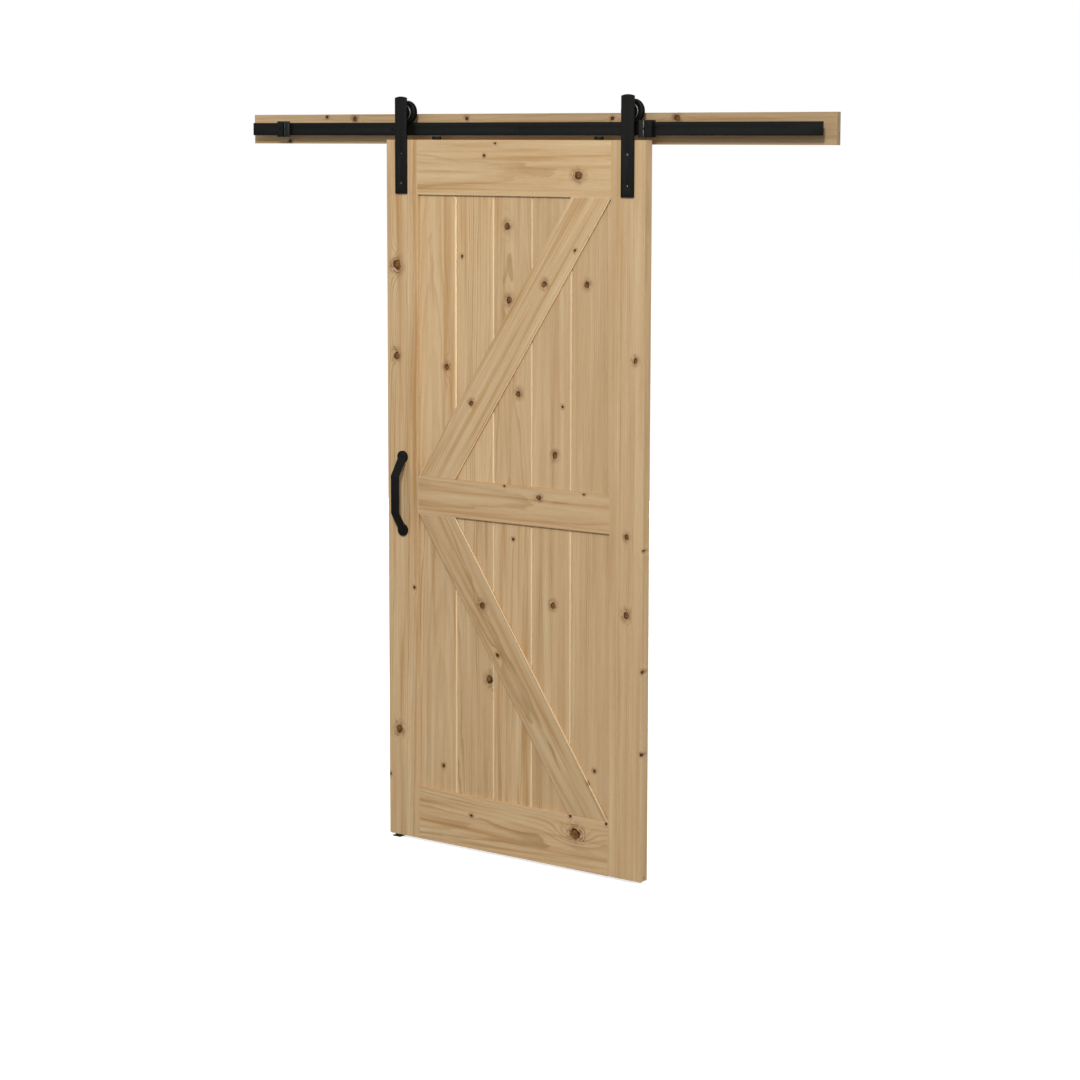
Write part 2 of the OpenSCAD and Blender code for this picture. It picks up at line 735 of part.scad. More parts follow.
module pull_handle() {
    grip_y = door_front - grip_off - grip_t / 2;
    foot_y = door_front - grip_t / 2;
    half = handle_pitch / 2;
    route = [[foot_y, -half], [grip_y, -grip_l / 2], [grip_y, grip_l / 2], [foot_y, half]];
    color("dimgray") difference() {
        union() {
            for (z = handle_heights) rod(-stile_mid, z, door_front - foot_t, door_front, foot_d / 2,
                                         foot_d / 2);
            intersection() {
                translate([-stile_mid - grip_w / 2, 0, door_centre])
                    rotate([90, 0, 90]) linear_extrude(grip_w) polygon(band(route, grip_t));
                block([-door_w, door_front - grip_off - grip_t - 1, door_bottom],
                      [0, door_front, door_top]);
            }
        }
        for (z = handle_heights) rod(-stile_mid, z, door_front - handle_bite, door_front + 1,
                                     handle_screw_d / 2 + fit_gap, handle_screw_d / 2 + fit_gap);
    }
}

module handle_screws() {
    color("dimgray") for (z = handle_heights) difference() {
        turned(-stile_mid, z, [
            [0, door_front - handle_bite + hole_gap],
            [handle_screw_d / 2, door_front - handle_bite + hole_gap],
            [handle_screw_d / 2, door_back - handle_head_t],
            [handle_head_d / 2, door_back - handle_head_t], [handle_head_d / 2, door_back],
            [0, door_back]]);
        key_socket(-stile_mid, z, door_back - handle_head_t / 2, door_back + 1, handle_head_d / 2);
    }
}

// ---- what is drawn -------------------------------------------------------

header_board();
track_rail();
track_spacers();
lag_bolts();
floor_guide();
for (side = sides) {
    stop_saddle(side);
    stop_bumper(side);
}
stop_backing_plates();
stop_studs();
stop_grub_screws();
top_rail();
middle_rail();
bottom_rail();
frame_dowels();
for (i = [1:plank_count]) {
    plank(i, mid_rail_top, top_rail_bottom);
    plank(i, bottom_rail_top, mid_rail_bottom);
}
brace(mid_rail_top, top_rail_bottom, true, true);  // brace_front_upper
brace(mid_rail_top, top_rail_bottom, true, false);  // brace_back_upper
brace(bottom_rail_top, mid_rail_bottom, false, true);  // brace_front_lower
brace(bottom_rail_top, mid_rail_bottom, false, false);  // brace_back_lower
strap_screws();
sleeve_nuts();
axle_spacers();
anti_jump_discs();
disc_screws();
pull_handle();
handle_screws();
for (side = sides) {
    stile(side);
    strap(side);
    axle(side);
    inner_race(side);
    wheel(side);
    outer_race(side);
    bearing_balls(side);
    bearing_shields(side);
    circlip(side);
}
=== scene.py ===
import json
import math
import bpy
import bmesh
from mathutils import Matrix, Vector

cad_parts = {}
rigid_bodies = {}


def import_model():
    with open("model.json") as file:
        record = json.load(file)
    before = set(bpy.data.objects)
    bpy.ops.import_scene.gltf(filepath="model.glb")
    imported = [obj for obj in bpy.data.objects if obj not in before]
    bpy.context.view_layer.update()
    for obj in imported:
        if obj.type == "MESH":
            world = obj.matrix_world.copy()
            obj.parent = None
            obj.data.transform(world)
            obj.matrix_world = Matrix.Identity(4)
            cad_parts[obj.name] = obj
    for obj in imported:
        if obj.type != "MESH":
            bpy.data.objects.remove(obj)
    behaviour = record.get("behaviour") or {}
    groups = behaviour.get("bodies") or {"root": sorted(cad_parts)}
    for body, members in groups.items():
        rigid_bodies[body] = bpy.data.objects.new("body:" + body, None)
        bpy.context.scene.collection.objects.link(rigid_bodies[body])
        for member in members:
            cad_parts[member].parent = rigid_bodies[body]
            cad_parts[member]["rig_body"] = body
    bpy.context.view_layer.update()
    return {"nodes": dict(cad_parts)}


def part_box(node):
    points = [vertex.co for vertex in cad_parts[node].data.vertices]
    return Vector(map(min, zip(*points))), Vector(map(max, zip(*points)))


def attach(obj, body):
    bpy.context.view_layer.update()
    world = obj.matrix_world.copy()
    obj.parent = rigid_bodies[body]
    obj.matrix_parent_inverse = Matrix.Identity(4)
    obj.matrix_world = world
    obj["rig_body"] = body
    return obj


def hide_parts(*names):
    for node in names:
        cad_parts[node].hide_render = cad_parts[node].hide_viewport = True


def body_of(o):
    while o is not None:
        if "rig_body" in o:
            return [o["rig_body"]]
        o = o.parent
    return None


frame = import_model()
cad = frame["nodes"]
sides = ("left", "right")
print("frame loaded:", len(cad), "nodes")


# Small helpers

def linear(hexColour):
    # sRGB hex, such as "c8aa86", to the linear colour that a shader takes
    parts = [int(hexColour[i:i + 2], 16) / 255 for i in (0, 2, 4)]
    return (*[c / 12.92 if c <= 0.04045 else ((c + 0.055) / 1.055) ** 2.4 for c in parts], 1.0)


def addNode(tree, kind, inputs=None, **settings):
    # adds one node; an input may be a value or another node's socket
    node = tree.nodes.new(kind)
    for key, value in settings.items():
        setattr(node, key, value)
    for key, value in (inputs or {}).items():
        if isinstance(value, bpy.types.NodeSocket):
            tree.links.new(value, node.inputs[key])
        else:
            node.inputs[key].default_value = value
    return node


def newMaterial(name):
    material = bpy.data.materials.new(name)
    material.use_nodes = True
    material.node_tree.nodes.clear()
    return material


def newGroup(name, inputs, outputs):
    # a shader group with named inputs and outputs; gives back the group and the sockets of its inputs
    tree = bpy.data.node_groups.new(name, "ShaderNodeTree")
    for label, kind in inputs:
        tree.interface.new_socket(label, in_out="INPUT", socket_type=kind)
    for label, kind in outputs:
        tree.interface.new_socket(label, in_out="OUTPUT", socket_type=kind)
    return tree, tree.nodes.new("NodeGroupInput").outputs


def giveMaterial(obj, material):
    obj.data.materials.clear()
    obj.data.materials.append(material)


def centreOf(node):
    low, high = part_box(node)
    return (Vector(low) + Vector(high)) / 2


# Camera

cameraSetup = {
    "place": (4.163, -6.022, -0.013),   # metres, in the row frame
    "turn": 35.30,                      # degrees to the left of straight ahead
    "tilt": 6.84,                       # degrees below the horizon
    "lens": 83.0,                       # millimetres
    "shift": (0.0389, -0.10),           # of the frame's width
    "farthest": 100,                    # metres
}


def makeCamera(setup):
    data = bpy.data.cameras.new("camera")
    data.lens = setup["lens"]
    data.shift_x, data.shift_y = setup["shift"]
    data.clip_end = setup["farthest"]
    camera = bpy.data.objects.new("camera", data)
    camera.location = setup["place"]
    camera.rotation_euler = (math.radians(90 - setup["tilt"]), 0, math.radians(setup["turn"]))
    bpy.context.scene.collection.objects.link(camera)
    bpy.context.scene.camera = camera


makeCamera(cameraSetup)
print("camera placed")


# Knotty pine

pine = {
    "early": "cbac82",          # pale spring wood
    "late": "a07c50",           # darker summer wood of each ring
    "warm": "b58a58",           # broad resin-rich streaks
    "pale": "d9bf97",           # sapwood bands
    "chamferHighlight": "ecd3a8",        # painted highlight: arrises and V joints lightened to pale cream, standing in for the light they catch
    "knot": "9a6533",
    "knotRing": "5c3716",
    "bark": "38200d",
    "halo": "a07040",
    "arris": 0.0012,            # eased edges of the boards, in metres
    "frameArris": 0.0022,       # of the stiles and rails
    # how often each pattern repeats in a metre, along and across the grain
    "trunkWave": (1.1, 6.5),    # slow waves of the trunk, 0.9 m long and 0.15 m across
    "shortWave": (6, 34),       # 170 mm long, 30 mm across
    "fade": (5, 22),            # a ring line fades in and out over 200 mm
    "fibre": (16, 700),         # 60 mm long and 1.4 mm wide, drawn coarse enough to show
    "duct": (55, 1400),         # resin ducts: dashes 18 mm long and 0.7 mm wide
    "streak": (1.6, 55),        # broad streaks, 0.6 m long and 18 mm wide
    "knotLumps": 62,            # lumps of 16 mm in a knot's outline
    "knotBreaks": 60,           # gaps of 17 mm in the rings round a knot
    "knotFlat": 0.85,           # a knot is this much narrower across the grain than along it
    "knotCone": 0.22,           # how much a knot's radius shrinks in each metre of depth
    "knotRings": 4.6,           # dark and pale bands in each radius of a knot
    "eye": (0.22, 0.55),        # the bent grain round a knot fades over 4.5 radii along and 1.8 across
    "eyeSwell": 1.8,            # how far a knot pushes the grain aside, in its own radii
    "relief": 0.0004,           # height of the raised grain, in metres
    "roughness": 0.55,
    "specular": 0.25,
}


def makeKnotGroup(look):
    # how one knot bends and darkens the board: the point and the knot's centre are in the board's own
    # metres, X along the grain; the knot is a cone, widest at the front face, as a branch is
    tree, given = newGroup(
        "pineKnot",
        (("Point", "NodeSocketVector"), ("Centre", "NodeSocketVector"), ("Radius", "NodeSocketFloat")),
        (("Swell", "NodeSocketFloat"), ("Heart", "NodeSocketFloat"), ("Bark", "NodeSocketFloat"),
         ("Halo", "NodeSocketFloat"), ("Rings", "NodeSocketFloat")))
    radius = given["Radius"]
    away = addNode(tree, "ShaderNodeVectorMath", {0: given["Point"], 1: given["Centre"]},
                   operation="SUBTRACT").outputs[0]
    flat = addNode(tree, "ShaderNodeVectorMath", {0: away, 1: (look["knotFlat"], 0.0, 1.0)},
                   operation="MULTIPLY").outputs[0]
    cone = addNode(tree, "ShaderNodeSeparateXYZ", {0: away}).outputs[1]
    cone = addNode(tree, "ShaderNodeMath", {0: cone}, operation="ABSOLUTE").outputs[0]
    cone = addNode(tree, "ShaderNodeMath", {0: cone, 1: look["knotCone"]}, operation="MULTIPLY").outputs[0]
    # each knot's dark side faces its own way
    side = addNode(tree, "ShaderNodeTexWhiteNoise", {"Vector": given["Centre"]}).outputs["Color"]
    side = addNode(tree, "ShaderNodeVectorMath", {0: side, 1: (0.5, 0.5, 0.5)},
                   operation="SUBTRACT").outputs[0]
    side = addNode(tree, "ShaderNodeVectorMath", {0: side, 1: (1.0, 0.0, 1.0)},
                   operation="MULTIPLY").outputs[0]
    side = addNode(tree, "ShaderNodeVectorMath", {0: side}, operation="NORMALIZE").outputs[0]
    shade = addNode(tree, "ShaderNodeVectorMath", {0: flat, 1: side},
                    operation="DOT_PRODUCT").outputs["Value"]
    shade = addNode(tree, "ShaderNodeMath", {0: shade, 1: radius}, operation="DIVIDE").outputs[0]
    # a ragged outline
    ragged = addNode(tree, "ShaderNodeTexNoise", {"Vector": given["Point"], "Scale": look["knotLumps"],
                                                  "Detail": 3}).outputs[0]
    ragged = addNode(tree, "ShaderNodeMapRange", {0: ragged, 1: 0.3, 2: 0.7, 3: -0.22, 4: 0.22}).outputs[0]
    reach = addNode(tree, "ShaderNodeVectorMath", {0: flat}, operation="LENGTH").outputs["Value"]
    reach = addNode(tree, "ShaderNodeMath", {0: reach, 1: cone}, operation="ADD").outputs[0]
    reach = addNode(tree, "ShaderNodeMath", {0: reach, 1: radius}, operation="DIVIDE").outputs[0]
    reach = addNode(tree, "ShaderNodeMath", {0: reach, 1: ragged}, operation="ADD").outputs[0]
    heart = addNode(tree, "ShaderNodeMapRange", {0: reach, 1: 0.7, 2: 1.05, 3: 1.0, 4: 0.0},
                    interpolation_type="SMOOTHSTEP").outputs[0]
    inner = addNode(tree, "ShaderNodeMapRange", {0: reach, 1: 0.5, 2: 0.82},
                    interpolation_type="SMOOTHSTEP").outputs[0]
    outer = addNode(tree, "ShaderNodeMapRange", {0: reach, 1: 0.85, 2: 1.15, 3: 1.0, 4: 0.0},
                    interpolation_type="SMOOTHSTEP").outputs[0]
    bark = addNode(tree, "ShaderNodeMath", {0: inner, 1: outer}, operation="MULTIPLY").outputs[0]
    # bark is thickest on one side, and a pin knot is dark all over
    oneSide = addNode(tree, "ShaderNodeMapRange", {0: shade, 1: -0.7, 2: 0.5, 3: 0.6, 4: 1.0}).outputs[0]
    bark = addNode(tree, "ShaderNodeMath", {0: bark, 1: oneSide}, operation="MULTIPLY").outputs[0]
    pin = addNode(tree, "ShaderNodeMapRange", {0: radius, 1: 0.0045, 2: 0.0075, 3: 0.9, 4: 0.0}).outputs[0]
    pin = addNode(tree, "ShaderNodeMath", {0: pin, 1: heart}, operation="MULTIPLY").outputs[0]
    bark = addNode(tree, "ShaderNodeMath", {0: bark, 1: pin}, operation="MAXIMUM").outputs[0]
    # broken rings go on outside the knot, 4 to 6 mm apart, more of them on its dark side
    swirl = addNode(tree, "ShaderNodeMath", {0: reach, 1: look["knotRings"]},
                    operation="MULTIPLY").outputs[0]
    swirl = addNode(tree, "ShaderNodeMath", {0: swirl, 1: 1.0}, operation="PINGPONG").outputs[0]
    line = addNode(tree, "ShaderNodeMapRange", {0: swirl, 1: 0.4, 2: 0.75}).outputs[0]
    near = addNode(tree, "ShaderNodeMapRange", {0: reach, 1: 1.3, 2: 3.0, 3: 1.0, 4: 0.0}).outputs[0]
    more = addNode(tree, "ShaderNodeMapRange", {0: shade, 1: -1.4, 2: 1.0, 3: 0.4, 4: 1.0}).outputs[0]
    near = addNode(tree, "ShaderNodeMath", {0: near, 1: more}, operation="MULTIPLY").outputs[0]
    broken = addNode(tree, "ShaderNodeTexNoise", {"Vector": given["Point"], "Scale": look["knotBreaks"],
                                                  "Detail": 2}).outputs[0]
    broken = addNode(tree, "ShaderNodeMapRange", {0: broken, 1: 0.38, 2: 0.52}).outputs[0]
    line = addNode(tree, "ShaderNodeMath", {0: line, 1: near}, operation="MULTIPLY").outputs[0]
    line = addNode(tree, "ShaderNodeMath", {0: line, 1: broken}, operation="MULTIPLY").outputs[0]
    bark = addNode(tree, "ShaderNodeMath", {0: bark, 1: line}, operation="MAXIMUM").outputs[0]
    darker = addNode(tree, "ShaderNodeMapRange", {0: shade, 1: -0.6, 2: 0.9, 3: -0.15, 4: 0.45}).outputs[0]
    rings = addNode(tree, "ShaderNodeMath", {0: swirl, 1: 0.6}, operation="MULTIPLY").outputs[0]
    rings = addNode(tree, "ShaderNodeMath", {0: rings, 1: darker}, operation="ADD",
                    use_clamp=True).outputs[0]
    # the grain flows round the knot in a long eye shape
    eye = addNode(tree, "ShaderNodeVectorMath", {0: away, 1: (look["eye"][0], 0.0, look["eye"][1])},
                  operation="MULTIPLY").outputs[0]
    eye = addNode(tree, "ShaderNodeVectorMath", {0: eye}, operation="LENGTH").outputs["Value"]
    eye = addNode(tree, "ShaderNodeMath", {0: eye, 1: radius}, operation="DIVIDE").outputs[0]
    eye = addNode(tree, "ShaderNodeMath", {0: eye, 1: 2.0}, operation="POWER").outputs[0]
    eye = addNode(tree, "ShaderNodeMath", {0: eye, 1: -1.0}, operation="MULTIPLY").outputs[0]
    eye = addNode(tree, "ShaderNodeMath", {0: eye}, operation="EXPONENT").outputs[0]
    swell = addNode(tree, "ShaderNodeMath", {0: eye, 1: radius}, operation="MULTIPLY").outputs[0]
    swell = addNode(tree, "ShaderNodeMath", {0: swell, 1: look["eyeSwell"]},
                    operation="MULTIPLY").outputs[0]
    # a brown stain close round the knot
    stain = addNode(tree, "ShaderNodeMapRange", {0: reach, 1: 0.9, 2: 2.6, 3: 1.0, 4: 0.0},
                    interpolation_type="SMOOTHSTEP").outputs[0]
    addNode(tree, "NodeGroupOutput", {"Swell": swell, "Heart": heart, "Bark": bark, "Halo": stain,
                                      "Rings": rings})
    return tree


def makeGrainGroup(look):
    # growth rings as tubes round a pith line beside or behind the board, so faces, edges and ends agree
    tree, given = newGroup(
        "pineGrain",
        (("Point", "NodeSocketVector"), ("Pith", "NodeSocketVector"), ("Spacing", "NodeSocketFloat"),
         ("Taper", "NodeSocketFloat"), ("Wave", "NodeSocketFloat"), ("Seed", "NodeSocketFloat"),
         ("Streak", "NodeSocketFloat"), ("Lines", "NodeSocketFloat"), ("Tone", "NodeSocketFloat"),
         ("ChamferHighlight", "NodeSocketFloat"), ("End", "NodeSocketFloat"),
         ("Swell", "NodeSocketFloat"), ("Heart", "NodeSocketFloat"), ("Bark", "NodeSocketFloat"),
         ("Halo", "NodeSocketFloat"), ("Rings", "NodeSocketFloat")),
        (("Colour", "NodeSocketColor"), ("Height", "NodeSocketFloat")))
    point = given["Point"]

    def pattern(name, detail, seeded=False, distortion=0.0):
        # noise stretched along the grain; a seeded one differs from board to board
        along, across = look[name]
        place = addNode(tree, "ShaderNodeVectorMath", {0: point, 1: (along, across, across)},
                        operation="MULTIPLY").outputs[0]
        inputs = {"Vector": place, "Scale": 1.0, "Detail": detail, "Distortion": distortion}
        if not seeded:
            return addNode(tree, "ShaderNodeTexNoise", inputs).outputs[0]
        return addNode(tree, "ShaderNodeTexNoise", {**inputs, "W": given["Seed"]},
                       noise_dimensions="4D").outputs[0]

    slow = pattern("trunkWave", 1.5, seeded=True)
    slow = addNode(tree, "ShaderNodeMath", {0: slow, 1: 0.5}, operation="SUBTRACT").outputs[0]
    slow = addNode(tree, "ShaderNodeMath", {0: slow, 1: given["Wave"]}, operation="MULTIPLY").outputs[0]
    short = pattern("shortWave", 3.0, seeded=True)
    short = addNode(tree, "ShaderNodeMapRange", {0: short, 3: -0.0065, 4: 0.0065}).outputs[0]
    across = addNode(tree, "ShaderNodeVectorMath", {0: point, 1: given["Pith"]},
                     operation="SUBTRACT").outputs[0]
    across = addNode(tree, "ShaderNodeVectorMath", {0: across, 1: (0.0, 1.0, 1.0)},
                     operation="MULTIPLY").outputs[0]
    radius = addNode(tree, "ShaderNodeVectorMath", {0: across}, operation="LENGTH").outputs["Value"]
    along = addNode(tree, "ShaderNodeSeparateXYZ", {0: point}).outputs[0]
    along = addNode(tree, "ShaderNodeMath", {0: along, 1: given["Taper"]}, operation="MULTIPLY").outputs[0]
    for part in (slow, short, along, given["Swell"]):
        radius = addNode(tree, "ShaderNodeMath", {0: radius, 1: part}, operation="ADD").outputs[0]
    count = addNode(tree, "ShaderNodeMath", {0: radius, 1: given["Spacing"]}, operation="DIVIDE").outputs[0]
    phase = addNode(tree, "ShaderNodeMath", {0: count}, operation="FRACT").outputs[0]
    whole = addNode(tree, "ShaderNodeMath", {0: count}, operation="FLOOR").outputs[0]
    # each ring darkens slowly through the summer and ends sharply
    darkening = addNode(tree, "ShaderNodeMapRange", {0: phase, 1: 0.35, 2: 0.88},
                        interpolation_type="SMOOTHSTEP").outputs[0]
    ending = addNode(tree, "ShaderNodeMapRange", {0: phase, 1: 0.9, 2: 1.0, 3: 1.0, 4: 0.0},
                     interpolation_type="SMOOTHSTEP").outputs[0]
    late = addNode(tree, "ShaderNodeMath", {0: darkening, 1: ending}, operation="MULTIPLY").outputs[0]
    # good and poor years: neighbouring rings differ in strength, and groups of years do too
    year = addNode(tree, "ShaderNodeMath", {0: whole, 1: given["Seed"]}, operation="ADD").outputs[0]
    each = addNode(tree, "ShaderNodeTexWhiteNoise", {"W": year}, noise_dimensions="1D").outputs[0]
    each = addNode(tree, "ShaderNodeMapRange", {0: each, 3: 0.1, 4: 1.0}).outputs[0]
    decade = addNode(tree, "ShaderNodeTexNoise", {"W": year, "Scale": 0.22, "Detail": 1.0},
                     noise_dimensions="1D").outputs[0]
    decade = addNode(tree, "ShaderNodeMapRange", {0: decade, 1: 0.35, 2: 0.65, 3: 0.25, 4: 1.0}).outputs[0]
    fade = addNode(tree, "ShaderNodeMapRange", {0: pattern("fade", 2.0), 1: 0.3, 2: 0.65, 3: 0.35,
                                                4: 1.0}).outputs[0]
    for part in (each, decade, fade):
        late = addNode(tree, "ShaderNodeMath", {0: late, 1: part}, operation="MULTIPLY").outputs[0]
    strength = addNode(tree, "ShaderNodeMath", {0: late, 1: given["Lines"]},
                       operation="MULTIPLY").outputs[0]
    fibre = pattern("fibre", 3.0)
    duct = addNode(tree, "ShaderNodeMapRange", {0: pattern("duct", 0.0), 1: 0.72, 2: 0.8, 3: 0.0,
                                                4: 0.35}).outputs[0]
    streak = pattern("streak", 3.0, seeded=True, distortion=0.4)
    warm = addNode(tree, "ShaderNodeMapRange", {0: streak, 1: 0.5, 2: 0.72, 3: 0.0, 4: 1.0}).outputs[0]
    warm = addNode(tree, "ShaderNodeMath", {0: warm, 1: given["Streak"]}, operation="MULTIPLY").outputs[0]
    pale = addNode(tree, "ShaderNodeMapRange", {0: streak, 1: 0.46, 2: 0.3, 3: 0.0, 4: 0.6}).outputs[0]
    colour = addNode(tree, "ShaderNodeMix", {0: pale, 6: linear(look["early"]), 7: linear(look["pale"])},
                     data_type="RGBA").outputs[2]
    colour = addNode(tree, "ShaderNodeMix", {0: warm, 6: colour, 7: linear(look["warm"])},
                     data_type="RGBA").outputs[2]
    colour = addNode(tree, "ShaderNodeMix", {0: strength, 6: colour, 7: linear(look["late"])},
                     data_type="RGBA").outputs[2]
    colour = addNode(tree, "ShaderNodeMix", {0: duct, 6: colour, 7: linear(look["late"])},
                     data_type="RGBA").outputs[2]
    stain = addNode(tree, "ShaderNodeMapRange", {0: late, 3: 0.3, 4: 0.7}).outputs[0]
    stain = addNode(tree, "ShaderNodeMath", {0: stain, 1: given["Halo"]}, operation="MULTIPLY").outputs[0]
    colour = addNode(tree, "ShaderNodeMix", {0: stain, 6: colour, 7: linear(look["halo"])},
                     data_type="RGBA").outputs[2]
    knot = addNode(tree, "ShaderNodeMix", {0: given["Rings"], 6: linear(look["knot"]),
                                           7: linear(look["knotRing"])}, data_type="RGBA").outputs[2]
    colour = addNode(tree, "ShaderNodeMix", {0: given["Heart"], 6: colour, 7: knot},
                     data_type="RGBA").outputs[2]
    colour = addNode(tree, "ShaderNodeMix", {0: given["Bark"], 6: colour, 7: linear(look["bark"])},
                     data_type="RGBA").outputs[2]
    # painted highlight: chamfer and V-joint faces are lightened towards pale cream to stand for the light
    # they catch
    paintedHighlight = addNode(tree, "ShaderNodeMath", {0: given["ChamferHighlight"], 1: 0.95}, operation="MULTIPLY").outputs[0]
    colour = addNode(tree, "ShaderNodeMix", {0: paintedHighlight, 6: colour, 7: linear(look["chamferHighlight"])},
                     data_type="RGBA").outputs[2]
    tone = addNode(tree, "ShaderNodeMapRange", {0: fibre, 1: 0.25, 2: 0.75, 3: 0.94, 4: 1.05}).outputs[0]
    tone = addNode(tree, "ShaderNodeMath", {0: tone, 1: given["Tone"]}, operation="MULTIPLY").outputs[0]
    # end grain drinks the lacquer and looks darker
    soaked = addNode(tree, "ShaderNodeMapRange", {0: given["End"], 3: 1.0, 4: 0.82}).outputs[0]
    tone = addNode(tree, "ShaderNodeMath", {0: tone, 1: soaked}, operation="MULTIPLY").outputs[0]
    colour = addNode(tree, "ShaderNodeHueSaturation", {"Value": tone, "Color": colour}).outputs[0]
    height = addNode(tree, "ShaderNodeMath", {0: late, 1: 0.8}, operation="MULTIPLY").outputs[0]
    height = addNode(tree, "ShaderNodeMath", {0: height, 1: fibre}, operation="ADD").outputs[0]
    addNode(tree, "NodeGroupOutput", {"Colour": colour, "Height": height})
    return tree


knotGroup = makeKnotGroup(pine)
grainGroup = makeGrainGroup(pine)


def pineMaterial(name, board):
    # planed pine under clear matt lacquer: soft sheen, ring and knot colour through the whole board
    material = newMaterial(name)
    tree = material.node_tree
    centre = centreOf(board["node"])
    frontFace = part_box(board["node"])[0][1] - centre.y
    turn = math.atan2(-board["grain"][1], board["grain"][0])
    place = addNode(tree, "ShaderNodeTexCoord")
    point = addNode(tree, "ShaderNodeMapping", {"Vector": place.outputs["Object"], "Location": centre,
                                                "Rotation": (0, turn, 0)}, vector_type="TEXTURE").outputs[0]
    inBoard = Matrix.Rotation(turn, 3, "Y").inverted()
    totals = {}
    for x, z, radius in board["knots"]:
        middle = inBoard @ Vector((x - centre.x, frontFace, z - centre.z))
        knot = addNode(tree, "ShaderNodeGroup", node_tree=knotGroup)
        tree.links.new(point, knot.inputs["Point"])
        knot.inputs["Centre"].default_value = middle
        knot.inputs["Radius"].default_value = radius / 1000
        for label in ("Swell", "Heart", "Bark", "Halo", "Rings"):
            value = knot.outputs[label]
            if label == "Rings":
                value = addNode(tree, "ShaderNodeMath", {0: value, 1: knot.outputs["Heart"]},
                                operation="MULTIPLY").outputs[0]
            if label in totals:
                how = "ADD" if label == "Swell" else "MAXIMUM"
                value = addNode(tree, "ShaderNodeMath", {0: totals[label], 1: value},
                                operation=how).outputs[0]
            totals[label] = value
    # which way the surface faces: out of the board, along a chamfer, where the highlight is painted, or
    # along the grain
    facing = place.outputs["Normal"]
    depth = addNode(tree, "ShaderNodeVectorMath", {0: facing, 1: (0, 1, 0)},
                    operation="DOT_PRODUCT").outputs["Value"]
    depth = addNode(tree, "ShaderNodeMath", {0: depth}, operation="ABSOLUTE").outputs[0]
    steep = addNode(tree, "ShaderNodeMapRange", {0: depth, 1: 0.2, 2: 0.5},
                    interpolation_type="SMOOTHSTEP").outputs[0]
    shallow = addNode(tree, "ShaderNodeMapRange", {0: depth, 1: 0.85, 2: 0.97, 3: 1.0, 4: 0.0},
                      interpolation_type="SMOOTHSTEP").outputs[0]
    chamferHighlight = addNode(tree, "ShaderNodeMath", {0: steep, 1: shallow}, operation="MULTIPLY").outputs[0]
    end = addNode(tree, "ShaderNodeVectorMath", {0: facing, 1: (board["grain"][0], 0, board["grain"][1])},
                  operation="DOT_PRODUCT").outputs["Value"]
    end = addNode(tree, "ShaderNodeMath", {0: end}, operation="ABSOLUTE").outputs[0]
    end = addNode(tree, "ShaderNodeMapRange", {0: end, 1: 0.85, 2: 0.97}).outputs[0]
    # the board's tone plus a painted light falloff along the grain
    along = addNode(tree, "ShaderNodeSeparateXYZ", {0: point}).outputs[0]
    tone = addNode(tree, "ShaderNodeMath", {0: along, 1: board["paintedLightDrift"], 2: board["tone"]},
                   operation="MULTIPLY_ADD").outputs[0]
    settings = {"Point": point, "Pith": (0, *board["pith"]), "Spacing": board["spacing"],
                "Taper": board["taper"], "Wave": board["wave"], "Seed": board["seed"],
                "Streak": board["streak"], "Lines": board["lines"], "Tone": tone,
                "ChamferHighlight": chamferHighlight, "End": end, **totals}
    grain = addNode(tree, "ShaderNodeGroup", node_tree=grainGroup)
    for key, value in settings.items():
        if isinstance(value, bpy.types.NodeSocket):
            tree.links.new(value, grain.inputs[key])
        else:
            grain.inputs[key].default_value = value
    bump = addNode(tree, "ShaderNodeBump", {"Strength": 0.3, "Distance": pine["relief"],
                                            "Height": grain.outputs["Height"]})
    shader = addNode(tree, "ShaderNodeBsdfPrincipled", {
        "Base Color": grain.outputs["Colour"], "Roughness": pine["roughness"], "IOR": 1.5,
        "Specular IOR Level": pine["specular"], "Normal": bump.outputs[0]})
    addNode(tree, "ShaderNodeOutputMaterial", {"Surface": shader.outputs[0]})
    return material


# How each kind of board was sawn: where the pith lies beside it (depth, across), the ring spacing and the
# slope of the rings to the board, all in metres, and how strong its streaks and lines are
sawn = {
    "flat": {"pith": (0.075, 0.016), "spacing": 0.0075, "taper": 0.022, "wave": 0.026,
             "streak": 1.0, "lines": 0.95},
    "rift": {"pith": (0.070, 0.090), "spacing": 0.0062, "taper": 0.012, "wave": 0.016,
             "streak": 1.0, "lines": 0.95},
    "quarter": {"pith": (0.020, 0.320), "spacing": 0.0062, "taper": 0.003, "wave": 0.008,
                "streak": 0.5, "lines": 0.8},
}
up, level = (0, 1), (1, 0)
braceFoot = 0.1362      # metres of the field's width that a brace's cut end takes
fieldLow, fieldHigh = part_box("brace_front_upper")
rise = Vector((fieldHigh[0] - fieldLow[0] - braceFoot, fieldHigh[2] - fieldLow[2])).normalized()
fall = Vector((rise[0], -rise[1]))

